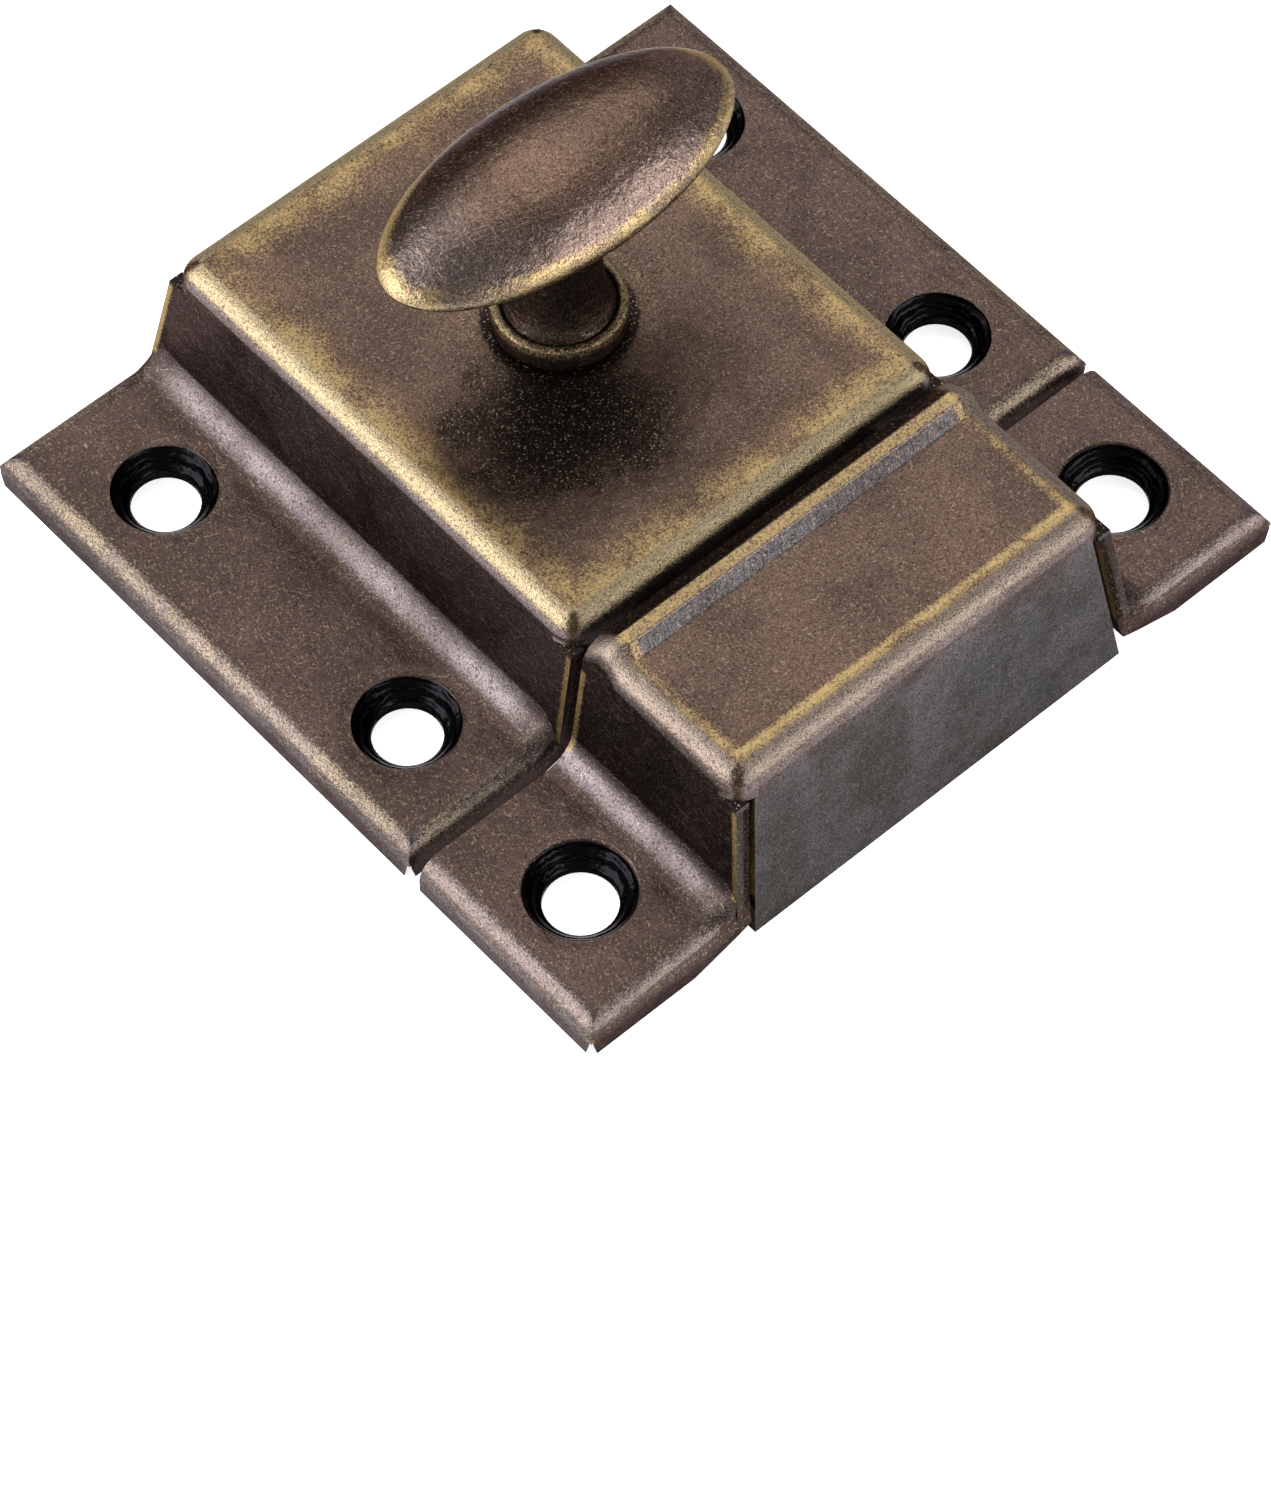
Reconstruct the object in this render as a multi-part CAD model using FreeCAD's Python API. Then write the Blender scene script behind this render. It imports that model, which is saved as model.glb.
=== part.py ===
import FreeCAD, Part
import math
import os

from FreeCAD import Vector

# Cupboard catch latch: a pressed latch case with an oval turn knob and a sprung bolt, and its pressed strike.
# Millimetres. The origin is the middle of the footprint on the mounting plane, +Z stands out of the
# cupboard's face, +X runs across the flanges and +Y from the strike to the back of the case.

# Pressed sheets: the case and the strike share one cross section
sheet = 1.0              # thickness of the sheet metal
width = 57.0             # across both flanges
case_length = 39.9
strike_length = 15.7
reveal = 0.95            # gap between the case and the strike when the door is shut
flange_height = 2.75
lip_bend = 1.68          # outer radius where a flange turns down into its lip
box_height = 13.35       # top of the raised box
box_top_width = 30.12    # between the sharp corners of the raised top
wall_draft = 7.16        # lean of the side walls, in degrees
foot_bend = 2.4          # hollow radius between a side wall and its flange
crown_bend = 1.8         # outer radius round the raised top
case_back_lean = 2.29    # how far the case's back wall leans in over its height
strike_front_lean = 2.24

# Slits left by folding
wall_slit = 0.45         # between an end wall and the edge of a side wall
slit_top = 11.3          # height at which those slits start
lip_rise = 1.5           # height of an end lip's lower edge beside the slit
lip_taper = 4.6          # length over which that edge comes down to the mounting plane
corner_notch = 1.0       # notch between two lips at a corner: its width at the foot
notch_tip = 0.2          # and at its top
notch_height = 1.45

# Screw holes, dimpled for countersunk heads
hole_spread = 44.54      # between the holes of the two flanges
case_hole_pitch = 23.39
case_hole_inset = 9.09   # from the case's back edge
case_hole_d = 4.5
case_sink_d = 6.9
strike_hole_inset = 8.01
strike_hole_d = 4.75
strike_sink_d = 7.25
sink_angle = 82.0
dimple_skin = 0.7        # thickness that the pressed dimple keeps
dimple_lip = 0.45        # straight wall of the hole below the countersink

# Lead-in ridge along the strike's open edge
ridge_rise = 0.9
ridge_ramp = 0.7         # from the flat top up to the ridge
ridge_flat = 0.9
lead_in = 1.25           # slope that the bolt rides over
lead_in_drop = 0.95

# Knob: oval head, stem, foot and spindle in one piece
spindle_setback = 18.48  # from the case's front edge
knob_length = 26.5
knob_width = 12.45
knob_rim_z = 27.0        # middle of the thin rim
rim_thickness = 1.5
rim_bevel = 0.3          # taken off the rim above and below
knob_crown = 3.1         # dome above the rim
knob_belly = 1.7         # depth of the underside below the rim
stem_r = 2.7
neck_flare = 1.8         # widening of the stem where it meets the head
neck_height = 2.8
foot_r = 4.4
foot_height = 1.95
foot_round = 0.45        # taken off the foot's upper edge
foot_bevel = 0.3         # and off its lower edge
foot_groove = 0.3        # depth of the step inside the foot's rim
groove_r = 3.6
flare_height = 4.2       # of the hollow cone between the foot and the stem
flare_bend = 6.0
journal_d = 6.0          # in the hole of the case top
tang = 3.9               # square part that drives the cam
pivot_d = 4.0            # lower end, in the guide plate
peened_head_r = 3.0
peened_head_height = 0.5
peened_bevel = 0.35

# Running clearances
turning_gap = 0.05       # round and under the parts that turn
sliding_gap = 0.1        # beside and under the bolt
nose_side_gap = 0.2      # between the bolt's nose and the window in the case front

# Bolt and cam
bolt_travel = 5.0
knob_turn = 60.0         # degrees that draw the bolt
engagement = 4.0         # how deep the nose stands in the strike
nose_width = 20.0
nose_top = 10.9
nose_tip = 2.4           # blunt height of the nose
bevel_length = 5.2
cam_flat = 3.9           # from the spindle's axis to the cam's flat
cam_thickness = 2.6
cam_mid_z = 6.2
cam_back = 5.0           # reach of the cam on its plain side
cam_side_room = 1.0      # between the swinging lobes and the bolt's side rails
over_turn = 1.0          # degrees of flank beyond the knob's full turn
frame_height = 7.6
rear_bar = 2.2
front_room = 14.4        # from the spindle's axis to the front of the bolt's window
frame_corner = 1.2
nose_edge = 0.4

# Washers on the spindle
washer_thickness = 0.5
washer_r = 5.2           # the upper one; the lower is as wide as the cam's hub

# Guide plate under the case
plate = 1.0
plate_front_gap = 0.5    # to the case's front wall
wing_inset = 4.5         # from the flange's edge to the end of a wing
wing_to_hole = 5.2       # from a wing's edge to the middle of the nearest screw hole
wing_corner = 1.0
ear_height = 6.5
ear_bend = 1.1
ear_gap = 0.5            # between an ear's top and the case's side wall
front_ear_length = 7.5
ear_to_wing = 1.4
rear_ear_length = 6.6
lug_width = 9.0
lug_top = 9.8
lug_setback = 4.3        # from the case's back edge to the back of the lug

# Spring and its two pilots
spring_wire = 0.6
spring_d = 6.5
spring_turns = 6
wire_sides = 6           # flats that stand for the round of the thin wire
pilot_d = 4.9
pin_reach = 2.6
stud_reach = 1.6
shank_d = 2.5
stud_head_d = 4.0
stud_head_height = 0.5
pilot_bevel = 0.5

# Places that follow from the sizes above
overall = case_length + reveal + strike_length
case_back = overall / 2
case_front = case_back - case_length
strike_back = case_front - reveal
strike_front = -overall / 2
spindle_y = case_front + spindle_setback
draft_slope = math.tan(math.radians(wall_draft))
box_foot = box_top_width / 2 + box_height * draft_slope
under_flange = flange_height - sheet
under_top = box_height - sheet
cam_ratio = bolt_travel / math.radians(knob_turn)
bolt_floor = under_flange + sliding_gap
pull_face = spindle_y + cam_flat + sliding_gap
frame_back = pull_face + rear_bar
lug_back = case_back - lug_setback
lug_front = lug_back - plate
spring_z = bolt_floor + frame_height / 2
rear_hole = case_back - case_hole_inset
front_hole = rear_hole - case_hole_pitch
plate_low = under_flange - plate
ear_top = plate_low + ear_height
side_wall = box_foot - ear_top * draft_slope - sheet * math.hypot(1, draft_slope)
ear_face = side_wall - ear_gap - plate
frame_half = ear_face - sliding_gap
full_turn = math.radians(knob_turn + over_turn)
lobe_swing = math.hypot(cam_flat + cam_ratio * full_turn, cam_ratio)
window_half = lobe_swing + cam_side_room
wing_front = front_hole + wing_to_hole
wing_back = rear_hole - wing_to_hole
rear_ear_start = wing_back + ear_to_wing
rear_ear_end = rear_ear_start + rear_ear_length
far = 4 * width          # longer than any part, for cutting tools


def box(x0, x1, y0, y1, z0, z1):
    return Part.makeBox(x1 - x0, y1 - y0, z1 - z0, Vector(x0, y0, z0))


def disc(radius, z0, z1, x=0.0, y=spindle_y):
    return Part.makeCylinder(radius, z1 - z0, Vector(x, y, z0))


def mirrored(shape):
    return shape.mirror(Vector(0, 0, 0), Vector(1, 0, 0))


def outline(corners, place):
    """Closed wire through (u, v, radius) corners, each rounded by its radius; place maps u, v to space."""
    flat = [Vector(u, v, 0) for u, v, _ in corners]
    edges = []
    joints = []
    for i, (_, _, radius) in enumerate(corners):
        to_last = (flat[i - 1] - flat[i]).normalize()
        to_next = (flat[(i + 1) % len(flat)] - flat[i]).normalize()
        if radius <= 0:
            joints.append((flat[i], flat[i]))
            continue
        half = to_last.getAngle(to_next) / 2
        start = flat[i] + to_last * (radius / math.tan(half))
        end = flat[i] + to_next * (radius / math.tan(half))
        middle = flat[i] + (to_last + to_next).normalize() * (radius / math.sin(half) - radius)
        joints.append((start, end))
        edges.append(Part.Arc(*[place(p.x, p.y) for p in (start, middle, end)]).toShape())
    for i, (start, _) in enumerate(joints):
        last_end = joints[i - 1][1]
        if (start - last_end).Length > 1e-6:
            edges.append(Part.makeLine(place(last_end.x, last_end.y), place(start.x, start.y)))
    return Part.Wire(Part.__sortEdges__(edges))


def prism_along_x(corners, x0, x1):
    face = Part.Face(outline(corners, lambda y, z: Vector(x0, y, z)))
    return face.extrude(Vector(x1 - x0, 0, 0))


def prism_along_y(corners, y0, y1):
    face = Part.Face(outline(corners, lambda x, z: Vector(x, y0, z)))
    return face.extrude(Vector(0, y1 - y0, 0))


def prism_along_z(corners, z0, z1):
    face = Part.Face(outline(corners, lambda x, y: Vector(x, y, z0)))
    return face.extrude(Vector(0, 0, z1 - z0))


def turned(profile, x=0.0, y=spindle_y):
    """Solid of revolution about the upright line at x, y from (radius, height, corner radius) points."""
    face = Part.Face(outline(profile, lambda r, z: Vector(x + r, y, z)))
    return face.revolve(Vector(x, y, 0), Vector(0, 0, 1), 360)


def is_upright(edge):
    ends = edge.BoundBox
    return ends.ZLength > 3 * max(ends.XLength, ends.YLength)


def box_half_width(z, inset):
    """Half width of the raised box at height z, measured inset inside its outer skin."""
    return box_foot - z * draft_slope - inset * math.hypot(1, draft_slope)


def raised_box(front, back, front_lean, back_lean, inset):
    """Drafted box with rounded crown, inset inside its outer skin; a lean is taken over the box's height."""
    low = -sheet if inset else 0.0
    high = box_height - inset
    rings = []
    for z in (low, high):
        half = box_half_width(z, inset)
        y0 = front + front_lean * z / box_height + inset * math.hypot(1, front_lean / box_height)
        y1 = back - back_lean * z / box_height - inset * math.hypot(1, back_lean / box_height)
        ring = [(-half, y0), (half, y0), (half, y1), (-half, y1), (-half, y0)]
        rings.append(Part.makePolygon([Vector(x, y, z) for x, y in ring]))
    sharp = Part.makeLoft(rings, True, True)
    bends = [e for e in sharp.Edges if is_upright(e) or e.BoundBox.ZMin > high - 0.01]
    walls = sharp.common(box(-width, width, -far, far, low, slit_top))
    return sharp.makeFillet(crown_bend - inset, bends).fuse(walls)


def foot_hollow(front, back, inset, round_front=False, round_back=False):
    """Fill on each side that rounds the corner between a side wall and its flange.

    A rounded end rolls over into the flange's end lip."""
    radius = foot_bend + inset
    roll = lip_bend - inset
    stretch = math.hypot(1, draft_slope)
    lean = math.atan(draft_slope)
    centre_x = box_foot + foot_bend * stretch - draft_slope * (flange_height + foot_bend)
    centre_z = flange_height + foot_bend
    bottom = centre_z - radius - roll

    def at(angle, reach=radius):
        return Vector(centre_x - reach * math.cos(angle), 0, centre_z - reach * math.sin(angle))

    wall = at(lean)
    flange = at(math.pi / 2)
    ring = [flange, Vector(centre_x, 0, bottom), Vector(wall.x - sheet, 0, bottom),
            Vector(wall.x - sheet, 0, wall.z), wall]
    arc = Part.Arc(wall, at((lean + math.pi / 2) / 2), flange).toShape()
    wire = Part.Wire(Part.__sortEdges__([arc] + Part.makePolygon(ring).Edges))
    start = front + roll if round_front else front
    end = back - roll if round_back else back
    fill = Part.Face(wire).extrude(Vector(0, end - start, 0))
    fill.translate(Vector(0, start, 0))
    rolls = []
    for rounded, y, inward in ((round_front, front, 1), (round_back, back, -1)):
        if rounded:
            corners = [(0, roll), (0, roll + sheet / 2), (roll, roll + sheet / 2), (roll, 0)]
            path = [Vector(centre_x, y + inward * u, centre_z - radius - v) for u, v in corners]
            slope = math.sin(math.pi / 4)
            middle = Vector(centre_x, y + inward * roll * (1 - slope), centre_z - radius - roll * (1 - slope))
            bend = Part.Arc(path[3], middle, path[0]).toShape()
            face = Part.Face(Part.Wire(Part.__sortEdges__([bend] + Part.makePolygon(path).Edges)))
            rolls.append(face.revolve(Vector(centre_x, 0, centre_z), Vector(0, 1, 0), 90 - math.degrees(lean)))
    if rolls:
        fill = fill.fuse(rolls)
    return fill.fuse(mirrored(fill))


def flange_slab(front, back, inset, back_lip):
    """Slab under both flanges, with its top edges rounded where the lips turn down."""
    low = -sheet if inset else 0.0
    high = flange_height - inset
    start = front + inset
    end = back - inset if back_lip else back
    side = width / 2 - inset
    bend = lip_bend - inset
    across = [(-side, low, 0), (side, low, 0), (side, high, bend), (-side, high, bend)]
    along = [(start, low, 0), (end, low, 0), (end, high, bend if back_lip else 0), (start, high, bend)]
    return prism_along_y(across, start, end).common(prism_along_x(along, -width, width))


def leaning_ends(front, back, front_lean, back_lean, inset):
    """Wide wedge that trims the foot hollows to the leaning end walls."""
    y0 = front + inset
    y1 = back - inset
    corners = [(y0, -sheet, 0), (y0 + front_lean, box_height, 0),
               (y1 - back_lean, box_height, 0), (y1, -sheet, 0)]
    return prism_along_x(corners, -width, width)


def case_form(inset):
    feet = foot_hollow(case_front + inset, case_back - inset, inset, True, True)
    feet = feet.common(leaning_ends(case_front, case_back, 0, case_back_lean, inset))
    raised = raised_box(case_front, case_back, 0, case_back_lean, inset)
    return flange_slab(case_front, case_back, inset, True).fuse([raised, feet]).removeSplitter()


def ridge_section(y, top, inset):
    """Cross section of the raised box at one place along the strike's ridge."""
    low = -sheet if inset else 0.0
    radius = crown_bend - inset
    corners = [(box_half_width(low, inset), low, 0), (box_half_width(top, inset), top, radius)]
    corners += [(-x, z, r) for x, z, r in reversed(corners)]
    return outline(corners, lambda x, z: Vector(x, y, z))


def ridge_line(inset):
    """Stations (y, z) of the strike's top: the groove, up the ramp, along the ridge and down the lead-in."""
    lead_start = strike_back - lead_in
    ramp_top = lead_start - ridge_flat
    overrun = 2 if inset else 1
    line = [(ramp_top - ridge_ramp, box_height), (ramp_top, box_height + ridge_rise),
            (lead_start, box_height + ridge_rise),
            (lead_start + overrun * lead_in, box_height + ridge_rise - overrun * lead_in_drop)]
    return [(y, z - inset) for y, z in line]


def strike_form(inset):
    overrun = lead_in if inset else 0.0
    line = ridge_line(inset)
    raised = raised_box(strike_front, strike_back + box_height, strike_front_lean, 0, inset)
    raised = raised.common(box(-width, width, strike_front - 1, line[0][0], -sheet, far))
    ridge = Part.makeLoft([ridge_section(y, z, inset) for y, z in line], True, True)
    feet = foot_hollow(strike_front + inset, strike_back + overrun, inset, True)
    trim = leaning_ends(strike_front, strike_back + overrun + inset, strike_front_lean, 0, inset)
    slab = flange_slab(strike_front, strike_back + overrun, inset, False)
    return slab.fuse([raised, ridge, feet.common(trim)]).removeSplitter()


def end_relief(face_y, inward, lean):
    """Slit through an end wall beside each side wall, which ends in the tapered lower edge of the end lip."""
    y0, y1 = sorted((face_y - inward * sheet, face_y + inward * (sheet + lean)))
    top_x = box_half_width(slit_top, sheet)
    rise_x = box_half_width(lip_rise, sheet)
    low_x = box_half_width(-sheet, sheet)
    corners = [(low_x - wall_slit, -sheet, 0), (top_x - wall_slit, slit_top, 0), (top_x, slit_top, 0),
               (rise_x, lip_rise, 0), (rise_x + lip_taper, 0, 0), (rise_x + lip_taper, -sheet, 0)]
    cut = prism_along_y(corners, y0, y1)
    return cut.fuse(mirrored(cut))


def lip_corner_slit(corner_y, inward):
    """Notch along the diagonal where two lips meet, narrowing upwards."""
    corners = [(-corner_notch / 2, -sheet, 0), (corner_notch / 2, -sheet, 0),
               (notch_tip / 2, notch_height, 0), (-notch_tip / 2, notch_height, 0)]
    slit = prism_along_y(corners, -width / 8, width / 8)
    slit.rotate(Vector(0, 0, 0), Vector(0, 0, 1), 45 * inward)
    slit.translate(Vector(width / 2, corner_y, 0))
    return slit.fuse(mirrored(slit))


def screw_dimples(blank, y_places, hole_d, sink_d):
    """Press a countersunk dimple into both flanges at each place and pierce it."""
    half_angle = math.radians(sink_angle / 2)
    depth = (sink_d - hole_d) / 2 / math.tan(half_angle)
    skin = dimple_skin / math.cos(half_angle)
    bottom = flange_height - depth - dimple_lip
    for y in y_places:
        for x in (-hole_spread / 2, hole_spread / 2):
            shoulder = sink_d / 2 + skin - sheet * math.tan(half_angle)
            low_r = shoulder - (under_flange - bottom) * math.tan(half_angle)
            dimple = Part.makeCone(low_r, shoulder, under_flange - bottom, Vector(x, y, bottom))
            sink = Part.makeCone(hole_d / 2, sink_d / 2, depth, Vector(x, y, flange_height - depth))
            hole = disc(hole_d / 2, -sheet, flange_height - depth / 2, x, y)
            blank = blank.fuse(dimple.fuse(disc(shoulder, under_flange, flange_height, x, y)))
            blank = blank.cut(sink.fuse(hole))
    return blank


def latch_case():
    blank = case_form(0).cut(case_form(sheet))
    blank = blank.cut([end_relief(case_front, 1, case_back_lean), end_relief(case_back, -1, case_back_lean)])
    blank = blank.cut([lip_corner_slit(case_front, 1), lip_corner_slit(case_back, -1)])
    blank = screw_dimples(blank, (front_hole, rear_hole), case_hole_d, case_sink_d)
    half = nose_width / 2 + nose_side_gap
    window = box(-half, half, case_front - sheet, case_front + 2 * sheet, -sheet, nose_top + nose_side_gap)
    spindle_hole = disc(journal_d / 2 + turning_gap, under_top - sheet, box_height + sheet)
    return blank.cut([window, spindle_hole])


def strike():
    blank = strike_form(0).cut(strike_form(sheet))
    blank = blank.cut([end_relief(strike_front, 1, strike_front_lean), lip_corner_slit(strike_front, 1)])
    return screw_dimples(blank, (strike_front + strike_hole_inset,), strike_hole_d, strike_sink_d)


def oval(reach, z):
    """Ellipse of the knob's proportions at height z; reach is half its width."""
    ring = Part.Ellipse(Vector(0, spindle_y, z), reach * knob_length / knob_width, reach)
    return Part.Wire(ring.toShape())


def dome(reach, z, height):
    """Shallow oval cap on the ring of that reach at height z; a negative height hangs below it."""
    bend = (reach ** 2 + height ** 2) / (2 * abs(height))
    steps = [math.asin(reach / bend) * share for share in (1, 0.7, 0.4, 0.1)]
    side = math.copysign(1, height)
    rings = [oval(bend * math.sin(a), z + side * (bend * math.cos(a) - bend) + height) for a in steps]
    return Part.makeLoft(rings, True, False)


def knob_head():
    """Oval head: a dome over a thin rim, and a flatter belly below it."""
    reach = knob_width / 2
    low = knob_rim_z - rim_thickness / 2
    high = knob_rim_z + rim_thickness / 2
    edge = reach - rim_bevel
    rim = Part.makeLoft([oval(edge, low), oval(reach, knob_rim_z), oval(edge, high)], True, True)
    return rim.fuse([dome(edge, high, knob_crown), dome(edge, low, -knob_belly)])


def turn_knob():
    foot_z = box_height + turning_gap
    rim_z = foot_z + foot_height
    head_z = knob_rim_z - rim_thickness / 2 - knob_belly / 2
    stem = turned([(0, foot_z, 0), (foot_r - foot_bevel, foot_z, 0), (foot_r, foot_z + foot_bevel, 0),
                   (foot_r, rim_z - foot_round, 0), (foot_r - foot_round, rim_z, 0), (groove_r, rim_z, 0),
                   (groove_r, rim_z - foot_groove, 0), (stem_r, rim_z + flare_height, flare_bend),
                   (stem_r, head_z - neck_height, 0), (stem_r + neck_flare, head_z, 0), (0, head_z, 0)])
    cam_top = under_top - 2 * turning_gap - washer_thickness
    washer_top = under_flange + 2 * turning_gap + washer_thickness
    journal = disc(journal_d / 2, cam_top, foot_z)
    square = box(-tang / 2, tang / 2, spindle_y - tang / 2, spindle_y + tang / 2, washer_top, cam_top)
    head_high = plate_low - turning_gap
    head_low = head_high - peened_head_height
    pivot = disc(pivot_d / 2, head_low, washer_top)
    peened = turned([(0, head_low, 0), (peened_head_r - peened_bevel, head_low, 0),
                     (peened_head_r, head_high, 0), (0, head_high, 0)])
    return knob_head().fuse([stem, journal, square, pivot, peened]).removeSplitter()


def cam_point(angle):
    """Point of the cam's working flank whose outward normal is turned by angle from +Y."""
    reach = cam_flat + cam_ratio * angle
    normal = Vector(math.sin(angle), math.cos(angle), 0)
    along = Vector(math.cos(angle), -math.sin(angle), 0)
    return normal * reach + along * cam_ratio


def cam_hub():
    """Hub on the spindle's square with two mirrored lobes; involute flanks draw the bolt at an even rate."""
    points = [cam_point(full_turn * i / 8) for i in range(9)]
    flank = Part.BSplineCurve()
    flank.interpolate(points)
    flank = flank.toShape()
    other = mirrored(flank)
    flat = Part.makeLine(Vector(-points[0].x, points[0].y, 0), points[0])
    tip = points[-1]
    back = Part.Arc(tip, Vector(0, -cam_back, 0), Vector(-tip.x, tip.y, 0)).toShape()
    lobes = Part.Face(Part.Wire(Part.__sortEdges__([flat, flank, back, other])))
    lobes = lobes.extrude(Vector(0, 0, cam_thickness))
    lobes.translate(Vector(0, spindle_y, cam_mid_z - cam_thickness / 2))
    low = under_flange + washer_thickness + 2 * turning_gap
    high = under_top - washer_thickness - 2 * turning_gap
    half = tang / 2 + turning_gap / 2
    bore = box(-half, half, spindle_y - half, spindle_y + half, low - 1, high + 1)
    hub = lobes.fuse(disc(cam_flat, low, high))
    return hub.cut(bore).removeSplitter()


def top_washer():
    high = under_top - turning_gap
    bore = disc(journal_d / 2 + turning_gap, 0, far)
    return disc(washer_r, high - washer_thickness, high).cut(bore)


def bottom_washer():
    low = under_flange + turning_gap
    return disc(cam_flat, low, low + washer_thickness).cut(disc(pivot_d / 2 + turning_gap, 0, far))


def rod_along_y(diameter, y0, y1):
    return Part.makeCylinder(diameter / 2, y1 - y0, Vector(0, y0, spring_z), Vector(0, 1, 0))


def latch_bolt():
    """Cast bolt: an open frame round the cam and a nose, flat on top and bevelled below."""
    tip_y = strike_back - engagement
    shoulder_y = case_front + sheet + sliding_gap
    window_front = spindle_y - front_room
    top = bolt_floor + frame_height
    nose = prism_along_x([(tip_y, nose_top, nose_edge), (tip_y, nose_top - nose_tip, nose_edge),
                          (tip_y + bevel_length, bolt_floor, nose_edge), (window_front, bolt_floor, 0),
                          (window_front, nose_top, 0)], -nose_width / 2, nose_width / 2)
    frame = prism_along_z([(-frame_half, shoulder_y, nose_edge), (frame_half, shoulder_y, nose_edge),
                           (frame_half, frame_back, frame_corner), (-frame_half, frame_back, frame_corner)],
                          bolt_floor, top)
    window = prism_along_z([(x, y, frame_corner) for x, y in
                            ((-window_half, window_front), (window_half, window_front),
                             (window_half, pull_face), (-window_half, pull_face))], 0, far)
    pin_hole = rod_along_y(shank_d, pull_face - sheet, frame_back + sheet)
    return frame.fuse(nose).cut([window, pin_hole]).removeSplitter()


def spring_pin():
    """Pin pressed into the bolt's rear bar, which pilots the spring's front end."""
    tip = frame_back + pin_reach
    pin = rod_along_y(pilot_d, frame_back, tip)
    pin = pin.makeChamfer(pilot_bevel, [e for e in pin.Edges if e.BoundBox.YMin > tip - sliding_gap])
    return pin.fuse(rod_along_y(shank_d, pull_face + sliding_gap, frame_back)).removeSplitter()


def spring_stud():
    """Stud riveted through the guide plate's lug, which pilots the spring's back end."""
    tip = lug_front - stud_reach
    stud = rod_along_y(pilot_d, tip, lug_front)
    stud = stud.makeChamfer(pilot_bevel, [e for e in stud.Edges if e.BoundBox.YMax < tip + sliding_gap])
    head = rod_along_y(stud_head_d, lug_back, lug_back + stud_head_height)
    return stud.fuse([rod_along_y(shank_d, lug_front, lug_back), head]).removeSplitter()


def bolt_spring():
    """Compression spring between the bolt and the lug."""
    run = lug_front - frame_back - spring_wire
    wire_r = spring_wire / 2
    mean_r = spring_d / 2 - wire_r
    helix = Part.makeHelix(run / spring_turns, run, mean_r)
    lay = Vector(0, mean_r, run / spring_turns / (2 * math.pi)).normalize()
    out = Vector(1, 0, 0)
    up = lay.cross(out)
    ring = []
    for i in range(wire_sides + 1):
        turn = 2 * math.pi * i / wire_sides
        ring.append(out * (mean_r + wire_r * math.cos(turn)) + up * (wire_r * math.sin(turn)))
    section = Part.makePolygon(ring)
    coil = Part.Wire(helix.Edges).makePipeShell([section], True, True)
    coil.rotate(Vector(0, 0, 0), Vector(1, 0, 0), -90)
    coil.translate(Vector(0, frame_back + wire_r, spring_z))
    return coil


def folded_ear(y0, y1):
    """Side ears of the guide plate, folded up beside the bolt's rails."""
    inner = ear_face
    outer = ear_face + plate
    root = ear_face - 2 * ear_bend
    corners = [(root, plate_low, 0), (outer, plate_low, ear_bend), (outer, ear_top, 0), (inner, ear_top, 0),
               (inner, under_flange, ear_bend - plate), (root, under_flange, 0)]
    ear = prism_along_y(corners, y0, y1)
    return ear.fuse(mirrored(ear))


def guide_plate():
    """Folded plate under the case that holds the spindle's end, the bolt and the spring's lug."""
    front = case_front + sheet + plate_front_gap
    half = ear_face - ear_bend
    reach = width / 2 - wing_inset
    floor = box(-half, half, front, rear_ear_end, plate_low, under_flange)
    wings = prism_along_z([(-reach, wing_front, wing_corner), (reach, wing_front, wing_corner),
                           (reach, wing_back, wing_corner), (-reach, wing_back, wing_corner)],
                          plate_low, under_flange)
    lug = prism_along_x([(rear_ear_start, plate_low, 0), (lug_back, plate_low, ear_bend),
                         (lug_back, lug_top, 0), (lug_front, lug_top, 0),
                         (lug_front, under_flange, ear_bend - plate), (rear_ear_start, under_flange, 0)],
                        -lug_width / 2, lug_width / 2)
    ears = folded_ear(front, front + front_ear_length).fuse(folded_ear(rear_ear_start, rear_ear_end))
    pivot_hole = disc(pivot_d / 2 + turning_gap, -far, far)
    rivet_hole = rod_along_y(shank_d, lug_front - sheet, lug_back + sheet)
    return floor.fuse([wings, lug, ears]).cut([pivot_hole, rivet_hole]).removeSplitter()


pieces = {
    "latch_case": latch_case,
    "guide_plate": guide_plate,
    "turn_knob": turn_knob,
    "cam_hub": cam_hub,
    "top_washer": top_washer,
    "bottom_washer": bottom_washer,
    "latch_bolt": latch_bolt,
    "spring_pin": spring_pin,
    "spring_stud": spring_stud,
    "bolt_spring": bolt_spring,
    "strike": strike,
}

os.makedirs("parts", exist_ok=True)
for name, make in pieces.items():
    shape = make()
    shape.exportStep("parts/" + name + ".step")
    state = "valid" if shape.isValid() else "NOT VALID"
    print(name, len(shape.Solids), "solid", state, round(shape.Volume, 1), "mm3")
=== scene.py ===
# %% [markdown]
# # A cupboard catch latch in antique brass
#
# The latch is a pressed steel case with an oval turn knob, and a pressed strike that stands beside it.
# Both sheets and the knob carry the same finish: a dark brown patina, rubbed back to brass wherever a
# hand or a polishing wheel reaches, which is along every bend. The shapes are already exact, so this lesson
# is mostly about one question: how to tell a material where the bends, edges and hollows are.

# %% Load the fixed frame
import math

import bmesh
import bpy
from mathutils import Matrix, Vector


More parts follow.
